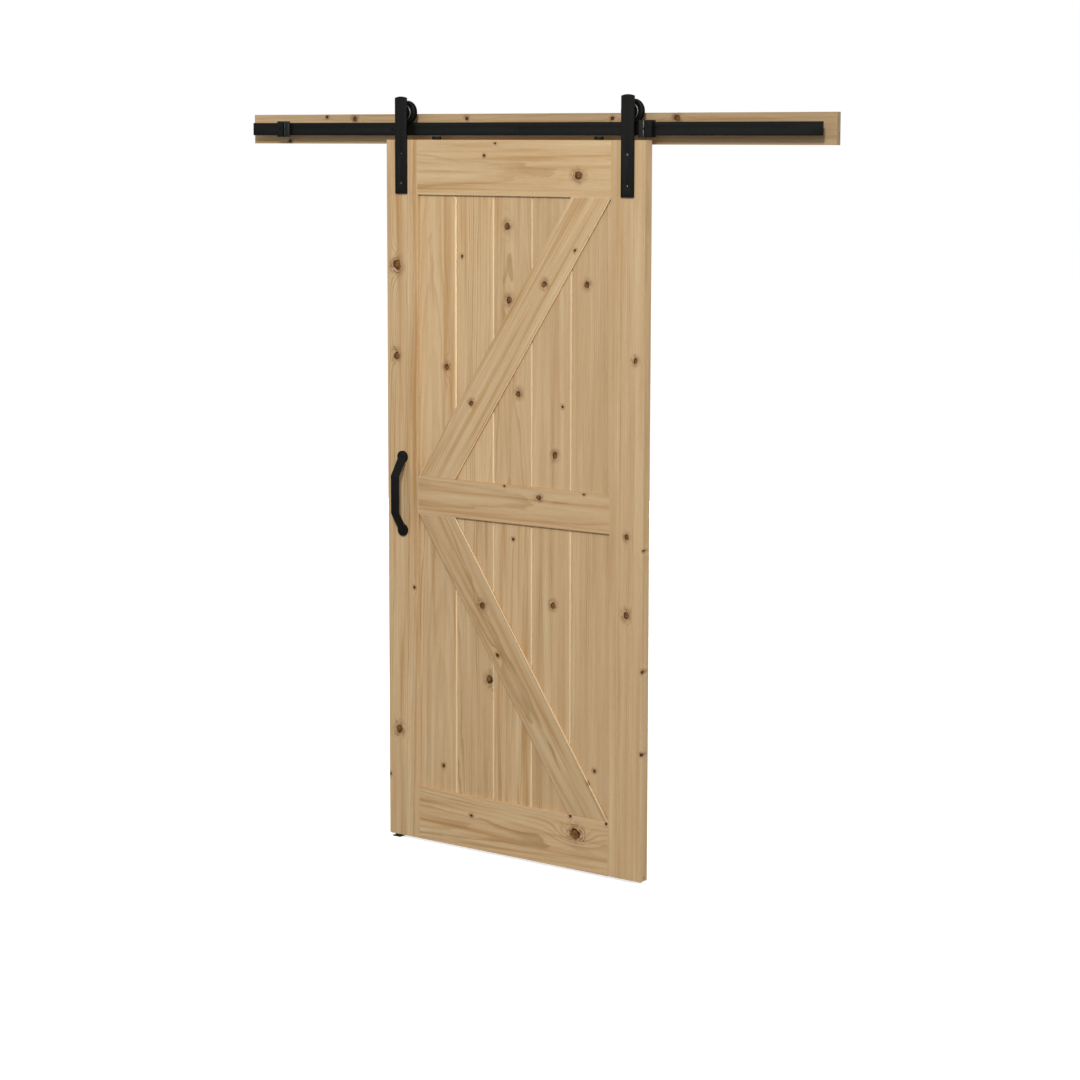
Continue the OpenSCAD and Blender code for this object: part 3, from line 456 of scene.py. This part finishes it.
# Grain direction, cut, tone and knots: (x, z) in metres in the row frame and the knot's radius in mm
boards = {
    # the header board's tone is partly its own colour and partly painted shade, darkened for the shade it
    # stands in behind the rail
    "header_board": (level, "rift", 0.8, [(-0.733, 0.037, 4), (-0.621, 0.030, 7), (-0.880, -0.036, 5),
                                           (0.311, 0.030, 5), (0.526, 0.030, 8), (-0.200, 0.030, 5)]),
    "stile_left": (up, "rift", 1.01, [(-0.420, -0.405, 13), (-0.422, -0.679, 10), (-0.359, -1.384, 4),
                                     (-0.420, -1.831, 11), (-0.456, -1.979, 5)]),
    "stile_right": (up, "quarter", 0.965, [(0.429, -0.652, 7), (0.403, -1.158, 7), (0.403, -1.385, 9),
                                          (0.456, -1.545, 4), (0.456, -1.788, 4), (0.457, -1.193, 3)]),
    "top_rail": (level, "flat", 1.02, [(-0.097, -0.077, 4), (-0.058, -0.042, 3), (0.234, -0.132, 11)]),
    "middle_rail": (level, "flat", 0.95, [(0.098, -1.070, 7), (-0.025, -1.046, 3), (0.256, -1.047, 3)]),
    "bottom_rail": (level, "flat", 1.0, [(0.229, -2.058, 15), (0.212, -2.006, 4), (-0.146, -2.063, 4),
                                          (0.338, -2.010, 4)]),
    "brace_front_upper": (rise, "rift", 1.0, [(0.115, -0.446, 8), (0.222, -0.346, 4), (-0.144, -0.808, 7),
                                               (0.269, -0.313, 4)]),
    "brace_front_lower": (fall, "flat", 0.9, [(-0.104, -1.414, 9), (-0.050, -1.557, 5),
                                              (0.276, -1.898, 5)]),
    "brace_back_upper": (rise, "rift", 0.97, [(-0.060, -0.700, 8), (0.180, -0.330, 5)]),
    "brace_back_lower": (fall, "rift", 1.0, [(0.040, -1.640, 7), (0.200, -1.860, 4)]),
    "upper_plank_1": (up, "flat", 1.07, [(-0.241, -0.706, 8)]),
    "upper_plank_2": (up, "rift", 1.05, [(-0.183, -0.373, 4)]),
    "upper_plank_3": (up, "flat", 0.97, [(-0.022, -0.282, 9), (-0.013, -0.496, 9), (0.019, -0.771, 8)]),
    "upper_plank_4": (up, "quarter", 0.95, [(0.150, -0.945, 8), (0.176, -0.799, 4)]),
    "upper_plank_5": (up, "quarter", 0.955, [(0.258, -0.444, 8)]),
    "lower_plank_1": (up, "flat", 0.955, [(-0.256, -1.927, 5)]),
    "lower_plank_2": (up, "rift", 0.94, [(-0.084, -1.635, 11)]),
    "lower_plank_3": (up, "rift", 1.0, [(0.001, -1.204, 4)]),
    "lower_plank_4": (up, "quarter", 0.95, [(0.145, -1.387, 8)]),
    "lower_plank_5": (up, "quarter", 0.955, [(0.292, -1.861, 5)]),
}

paintedLightDrifts = {"header_board": -0.12, "stile_left": 0.03}    # painted light falloff: change of tone for each metre along the grain; the header board darkens towards its right end


meshWork = {
    "merge": 0.00002,           # metres between points that are one point
    "flat": 0.5,                # degrees between faces that are one face, on a board
    "fineFlat": 0.4,            # and on the hardware
    "arris": 35,                # degrees from which a board's edge is eased
    "corner": 28,               # degrees from which an edge of the hardware is a corner
}


def easeEdges(obj, width):
    # welds the loose triangles, joins the flat ones and takes the edges off a little
    weld = obj.modifiers.new("weld", "WELD")
    weld.merge_threshold = meshWork["merge"]
    flats = obj.modifiers.new("flats", "DECIMATE")
    flats.decimate_type = "DISSOLVE"
    flats.angle_limit = math.radians(meshWork["flat"])
    bevel = obj.modifiers.new("arris", "BEVEL")
    bevel.width = width
    bevel.segments = 1
    bevel.limit_method = "ANGLE"
    bevel.angle_limit = math.radians(meshWork["arris"])


for number, (node, (grain, cut, tone, knots)) in enumerate(boards.items()):
    board = {"node": node, "grain": grain, "tone": tone, "knots": knots, "seed": number * 3.7,
             "paintedLightDrift": paintedLightDrifts.get(node, 0.0), **sawn[cut]}
    if number % 2:
        board["pith"] = (board["pith"][0], -board["pith"][1])
    giveMaterial(cad[node], pineMaterial("knotty_pine_" + node, board))
    framed = "stile" in node or "rail" in node
    easeEdges(cad[node], pine["frameArris" if framed else "arris"])
print("pine boards:", len(boards))


# Metals, rubber and plastic

def plainMaterial(name, colour, metallic, roughness, specular, grainSize, grainDepth):
    # one even finish with a fine surface grain; grainSize and grainDepth are in millimetres
    material = newMaterial(name)
    tree = material.node_tree
    place = addNode(tree, "ShaderNodeTexCoord").outputs["Object"]
    fine = addNode(tree, "ShaderNodeTexNoise", {"Vector": place, "Scale": 1000 / grainSize,
                                                "Detail": 2.0}).outputs[0]
    # cloudy wear, 70 mm across
    broad = addNode(tree, "ShaderNodeTexNoise", {"Vector": place, "Scale": 14, "Detail": 3.0}).outputs[0]
    rough = addNode(tree, "ShaderNodeMapRange", {0: broad, 3: roughness - 0.06,
                                                 4: roughness + 0.06}).outputs[0]
    tone = addNode(tree, "ShaderNodeMapRange", {0: broad, 3: 0.88, 4: 1.12}).outputs[0]
    shade = addNode(tree, "ShaderNodeHueSaturation", {"Value": tone, "Color": linear(colour)}).outputs[0]
    bump = addNode(tree, "ShaderNodeBump", {"Strength": 0.5, "Distance": grainDepth / 1000, "Height": fine})
    shader = addNode(tree, "ShaderNodeBsdfPrincipled", {
        "Base Color": shade, "Metallic": metallic, "Roughness": rough, "Specular IOR Level": specular,
        "Normal": bump.outputs[0]})
    addNode(tree, "ShaderNodeOutputMaterial", {"Surface": shader.outputs[0]})
    return material


# colour, metallic, roughness, specular level, then the size and depth of the surface grain in millimetres
looks = {
    "powder": ("0b0c0a", 0.0, 0.4, 0.22, 1.2, 0.02),
    "oxide": ("2c2c2a", 1.0, 0.36, 0.5, 0.8, 0.01),
    "strapOxide": ("2e2e2c", 1.0, 0.4, 0.5, 0.8, 0.01),
    "zinc": ("dcdfe2", 1.0, 0.28, 0.5, 0.6, 0.01),
    "ground": ("b9babb", 1.0, 0.18, 0.5, 0.5, 0.005),
    "rubber": ("161616", 0.0, 0.6, 0.35, 0.8, 0.03),
    "nylon": ("3a2a1c", 0.0, 0.45, 0.4, 0.9, 0.02),
    "beech": ("d2ab7c", 0.0, 0.6, 0.3, 0.7, 0.03),
}
# satin black powder coat: baked polyester on steel, faint orange peel, soft dull reflections
powderCoat = plainMaterial("satin_black_powder_coat", *looks["powder"])
# black oxide on alloy screws: oily dark sheen
blackOxide = plainMaterial("black_oxide_screw_steel", *looks["oxide"])
# bright zinc plate: pale bluish metal with a fine brushed haze
zincPlate = plainMaterial("bright_zinc_plate", *looks["zinc"])
# hardened bearing steel: ground to a smooth shine
bearingSteel = plainMaterial("ground_bearing_steel", *looks["ground"])
# moulded rubber: deep black with a matt skin
bumperRubber = plainMaterial("moulded_black_rubber", *looks["rubber"])
# moulded nylon, dark brown: slight sheen
brownNylon = plainMaterial("moulded_brown_nylon", *looks["nylon"])
# turned beech, closed grain
beech = plainMaterial("turned_beech", *looks["beech"])


def paintGlintWhere(material, mask, colour, roughness):
    # paints a glint or highlight: bright bare steel in place of the coat wherever the mask is 1
    tree = material.node_tree
    coat = next(node for node in tree.nodes if node.bl_idname == "ShaderNodeBsdfPrincipled")
    ending = next(node for node in tree.nodes if node.bl_idname == "ShaderNodeOutputMaterial")
    glintSteel = addNode(tree, "ShaderNodeBsdfPrincipled", {
        "Base Color": linear(colour), "Metallic": 1.0, "Roughness": roughness})
    both = addNode(tree, "ShaderNodeMixShader", {0: mask, 1: coat.outputs[0], 2: glintSteel.outputs[0]})
    tree.links.new(both.outputs[0], ending.inputs["Surface"])


wheelHub = {
    "edge": 0.0230,             # metres from the axle to the middle of the hub's edge, where the painted highlight ring lies
    "ringWidth": 0.0012,
    "glintSteel": ("8c8c89", 0.45),   # colour and roughness of the painted highlight: bright bare steel
}


def wheelWithPaintedHubHighlight(name, axle, hub):
    # powder coat with a painted highlight: a thin bright ring of bare steel at the hub's edge, standing in
    # for the light that edge catches
    material = plainMaterial(name, *looks["powder"])
    tree = material.node_tree
    place = addNode(tree, "ShaderNodeTexCoord").outputs["Object"]
    away = addNode(tree, "ShaderNodeVectorMath", {0: place, 1: axle}, operation="SUBTRACT").outputs[0]
    away = addNode(tree, "ShaderNodeVectorMath", {0: away, 1: (1.0, 0.0, 1.0)},
                   operation="MULTIPLY").outputs[0]
    away = addNode(tree, "ShaderNodeVectorMath", {0: away}, operation="LENGTH").outputs["Value"]
    # painted highlight: a thin ring at the hub's edge
    highlightRing = addNode(tree, "ShaderNodeMath", {0: away, 1: hub["edge"], 2: hub["ringWidth"] / 2},
                   operation="COMPARE").outputs[0]
    paintGlintWhere(material, highlightRing, *hub["glintSteel"])
    return material


strapScrew = {
    "head": 0.0075,             # radius of the countersunk head, in metres
    "socket": 0.0024,           # radius of the painted glint in each hex socket
    "glintSteel": ("c8c8c5", 0.35),   # colour and roughness of the painted glint: bright bare steel
}


def screwWithPaintedGlints(name, node, screw):
    # black oxide with painted glints: a small disc of bright steel in each hex socket, standing in for the
    # light the socket catches
    material = plainMaterial(name, *looks["strapOxide"])
    tree = material.node_tree
    low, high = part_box(node)
    half = (Vector(high) - Vector(low)) / 2 - Vector((screw["head"], 0, screw["head"]))
    place = addNode(tree, "ShaderNodeTexCoord").outputs["Object"]
    away = addNode(tree, "ShaderNodeVectorMath", {0: place, 1: centreOf(node)},
                   operation="SUBTRACT").outputs[0]
    away = addNode(tree, "ShaderNodeVectorMath", {0: away}, operation="ABSOLUTE").outputs[0]
    away = addNode(tree, "ShaderNodeVectorMath", {0: away, 1: half}, operation="SUBTRACT").outputs[0]
    away = addNode(tree, "ShaderNodeVectorMath", {0: away, 1: (1.0, 0.0, 1.0)},
                   operation="MULTIPLY").outputs[0]
    away = addNode(tree, "ShaderNodeVectorMath", {0: away}, operation="LENGTH").outputs["Value"]
    # painted glint: a bright disc in the middle of each screw head
    socket = addNode(tree, "ShaderNodeMath", {0: away, 1: screw["socket"]},
                     operation="LESS_THAN").outputs[0]
    paintGlintWhere(material, socket, *screw["glintSteel"])
    return material


def refined(node, material, edge):
    # a merged copy of a CAD solid, with smooth round faces and eased edges, that stands for it
    mesh = cad[node].data.copy()
    build = bmesh.new()
    build.from_mesh(mesh)
    bmesh.ops.remove_doubles(build, verts=build.verts, dist=meshWork["merge"])
    bmesh.ops.dissolve_limit(build, angle_limit=math.radians(meshWork["fineFlat"]), verts=build.verts,
                             edges=build.edges)
    corner = math.radians(meshWork["corner"])
    if edge:
        sharp = [line for line in build.edges
                 if len(line.link_faces) == 2 and line.calc_face_angle(0) > corner]
        bmesh.ops.bevel(build, geom=sharp, offset=edge, segments=2, profile=0.6, affect="EDGES",
                        clamp_overlap=True)
    for face in build.faces:
        face.smooth = True
    for line in build.edges:
        line.smooth = len(line.link_faces) == 2 and line.calc_face_angle(0) < corner
    build.to_mesh(mesh)
    build.free()
    piece = bpy.data.objects.new("finished_" + node, mesh)
    bpy.context.scene.collection.objects.link(piece)
    giveMaterial(piece, material)
    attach(piece, body_of(cad[node])[0])
    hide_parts(node)


# slot name, material, and (node, eased edge in metres)
finishes = (
    ("powder_coated_steel", powderCoat, (
        ("track_rail", 0.0006), ("track_spacers", 0.0004), ("stop_saddle_left", 0.0008),
        ("stop_saddle_right", 0.0008), ("strap_left", 0.0008), ("strap_right", 0.0008),
        ("sleeve_nuts", 0.0003), ("anti_jump_discs", 0.0006), ("pull_handle", 0.0010))),
    ("powder_coated_steel", blackOxide, tuple(
        (node, 0) for node in ("lag_bolts", "stop_studs", "stop_grub_screws", "handle_screws"))),
    ("zinc_plated_steel", zincPlate, (
        ("stop_backing_plates", 0.0002), ("disc_screws", 0), ("axle_left", 0.0003), ("axle_right", 0.0003),
        ("axle_spacers", 0.0003), ("circlip_left", 0), ("circlip_right", 0))),
    ("bearing_steel", bearingSteel, tuple(
        (kind + side, 0) for kind in ("inner_race_", "outer_race_", "bearing_balls_", "bearing_shields_")
        for side in sides)),
    ("black_rubber", bumperRubber, (("stop_bumper_left", 0.0008), ("stop_bumper_right", 0.0008))),
    ("brown_nylon", brownNylon, (("floor_guide", 0.0006),)),
    ("beech_dowel", beech, (("frame_dowels", 0),)),
)
for slotName, material, pairs in finishes:
    for node, edge in pairs:
        refined(node, material, edge)
for side in sides:
    axle = centreOf("outer_race_" + side)
    refined("wheel_" + side, wheelWithPaintedHubHighlight("powder_coat_painted_hub_highlight_" + side, axle, wheelHub),
            0)
refined("strap_screws", screwWithPaintedGlints("black_oxide_painted_socket_glints", "strap_screws", strapScrew),
        0)
print("hardware finished")


# Coarse threads on the lag bolts

lagThread = {
    "count": 5,
    "pitch": 0.45,              # metres from bolt to bolt
    "turns": 13,
    "length": 0.044,
    "tip": 0.007,               # plain point behind the last turn
    "core": 0.0036,             # radius of the helix that the ridge follows
    "ridge": 0.0011,            # how far the thread's triangle reaches to each side
}


def makeThreadTree():
    # one ridge wound round each bolt's core and repeated along the header
    tree = bpy.data.node_groups.new("lagThread", "GeometryNodeTree")
    for label, kind in (("Count", "NodeSocketInt"), ("First", "NodeSocketVector"),
                        ("Pitch", "NodeSocketFloat"), ("Core", "NodeSocketFloat"),
                        ("Turns", "NodeSocketFloat"), ("Length", "NodeSocketFloat"),
                        ("Ridge", "NodeSocketFloat"), ("Finish", "NodeSocketMaterial")):
        tree.interface.new_socket(label, in_out="INPUT", socket_type=kind)
    tree.interface.new_socket("Geometry", in_out="OUTPUT", socket_type="NodeSocketGeometry")
    given = tree.nodes.new("NodeGroupInput").outputs
    step = addNode(tree, "ShaderNodeCombineXYZ", {0: given["Pitch"]}).outputs[0]
    places = addNode(tree, "GeometryNodeMeshLine", {
        "Count": given["Count"], "Start Location": given["First"], "Offset": step},
                     mode="OFFSET").outputs[0]
    helix = addNode(tree, "GeometryNodeCurveSpiral", {
        "Resolution": 20, "Rotations": given["Turns"], "Start Radius": given["Core"],
        "End Radius": given["Core"], "Height": given["Length"]}).outputs[0]
    ridge = addNode(tree, "GeometryNodeCurvePrimitiveCircle", {
        "Resolution": 3, "Radius": given["Ridge"]}).outputs[0]
    thread = addNode(tree, "GeometryNodeCurveToMesh", {
        "Curve": helix, "Profile Curve": ridge, "Fill Caps": True}).outputs[0]
    many = addNode(tree, "GeometryNodeInstanceOnPoints", {
        "Points": places, "Instance": thread, "Rotation": (math.radians(-90), 0, 0)}).outputs[0]
    real = addNode(tree, "GeometryNodeRealizeInstances", {0: many}).outputs[0]
    done = addNode(tree, "GeometryNodeSetMaterial", {
        "Geometry": real, "Material": given["Finish"]}).outputs[0]
    addNode(tree, "NodeGroupOutput", {"Geometry": done})
    return tree


def makeThreads(setup):
    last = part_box("lag_bolts")[1][1] - setup["tip"]
    first = -setup["pitch"] * (setup["count"] - 1) / 2
    tree = makeThreadTree()
    holder = bpy.data.objects.new("threadMaker", bpy.data.meshes.new("threadMaker"))
    bpy.context.scene.collection.objects.link(holder)
    maker = holder.modifiers.new("thread", "NODES")
    maker.node_group = tree
    sizes = {"Count": setup["count"], "First": (first, last - setup["length"], 0),
             "Pitch": setup["pitch"], "Core": setup["core"], "Turns": float(setup["turns"]),
             "Length": setup["length"], "Ridge": setup["ridge"], "Finish": blackOxide}
    for item in tree.interface.items_tree:
        if item.in_out == "INPUT":
            maker[item.identifier] = sizes[item.name]
    bpy.context.view_layer.update()
    evaluated = holder.evaluated_get(bpy.context.evaluated_depsgraph_get())
    mesh = bpy.data.meshes.new_from_object(evaluated)
    holder.modifiers.remove(maker)
    bpy.data.objects.remove(holder)
    build = bmesh.new()
    build.from_mesh(mesh)
    bmesh.ops.recalc_face_normals(build, faces=build.faces)
    build.to_mesh(mesh)
    build.free()
    threads = bpy.data.objects.new("lagBoltThreads", mesh)
    bpy.context.scene.collection.objects.link(threads)
    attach(threads, "track")
    print("threads:", len(mesh.polygons), "faces")


makeThreads(lagThread)


# Floor and light

studio = {
    "floor": "fafaf8",
    "floorRadius": 30,          # metres
    "glow": 0.60,               # how far the floor is lit from itself, as a light table is
    "sky": 0.47,                # soft light from all round
    "bounce": 0.22,             # how much light the floor throws back at the door
    # area lights: place and size in metres, power in watts
    "lamps": {
        "softbox": {"place": (3.8, -7.4, 4.3), "size": 1.5, "power": 630},   # above, in front, at the right
        "side": {"place": (7.5, -1.2, 0.4), "size": 2.0, "power": 135},      # fills edges that face right
        "card": {"place": (-3.9, -8.0, 0.3), "size": 3.0, "power": 36},      # dim, a sheen on the steel
        "back": {"place": (-3.8, 6.2, -0.9), "size": 4.0, "power": 420},     # wide, for the wall side
    },
}


def makeStudio(setup):
    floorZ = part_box("floor_guide")[0][2]
    mesh = bpy.data.meshes.new("floor")
    build = bmesh.new()
    bmesh.ops.create_circle(build, cap_ends=True, radius=setup["floorRadius"], segments=64)
    build.to_mesh(mesh)
    build.free()
    mesh.transform(Matrix.Translation((0, 0, floorZ)))
    floor = bpy.data.objects.new("floor", mesh)
    bpy.context.scene.collection.objects.link(floor)
    material = newMaterial("pale_floor")
    tree = material.node_tree
    seen = addNode(tree, "ShaderNodeLightPath").outputs["Is Camera Ray"]
    shown = addNode(tree, "ShaderNodeBsdfPrincipled", {
        "Base Color": linear(setup["floor"]), "Roughness": 0.9, "Specular IOR Level": 0.0,
        "Emission Color": (1, 1, 1, 1), "Emission Strength": setup["glow"]})
    dim = addNode(tree, "ShaderNodeBsdfDiffuse", {"Color": (*[setup["bounce"]] * 3, 1)})
    mixed = addNode(tree, "ShaderNodeMixShader", {0: seen, 1: dim.outputs[0], 2: shown.outputs[0]})
    addNode(tree, "ShaderNodeOutputMaterial", {"Surface": mixed.outputs[0]})
    giveMaterial(floor, material)
    world = bpy.data.worlds.new("studio")
    world.use_nodes = True
    world.node_tree.nodes.clear()
    seen = addNode(world.node_tree, "ShaderNodeLightPath").outputs["Is Camera Ray"]
    strength = addNode(world.node_tree, "ShaderNodeMapRange", {
        0: seen, 3: setup["sky"], 4: 1.0}).outputs[0]
    sky = addNode(world.node_tree, "ShaderNodeBackground", {"Color": (1, 1, 1, 1), "Strength": strength})
    addNode(world.node_tree, "ShaderNodeOutputWorld", {"Surface": sky.outputs[0]})
    bpy.context.scene.world = world
    middle = Vector((0, 0, floorZ / 2))
    for name, lamp in setup["lamps"].items():
        data = bpy.data.lights.new(name, "AREA")
        data.energy = lamp["power"]
        data.size = lamp["size"]
        light = bpy.data.objects.new(name, data)
        light.location = lamp["place"]
        aim = middle - light.location
        light.rotation_euler = aim.to_track_quat("-Z", "Y").to_euler()
        bpy.context.scene.collection.objects.link(light)
    bpy.context.scene.view_settings.view_transform = "Standard"


makeStudio(studio)
print("studio lit")
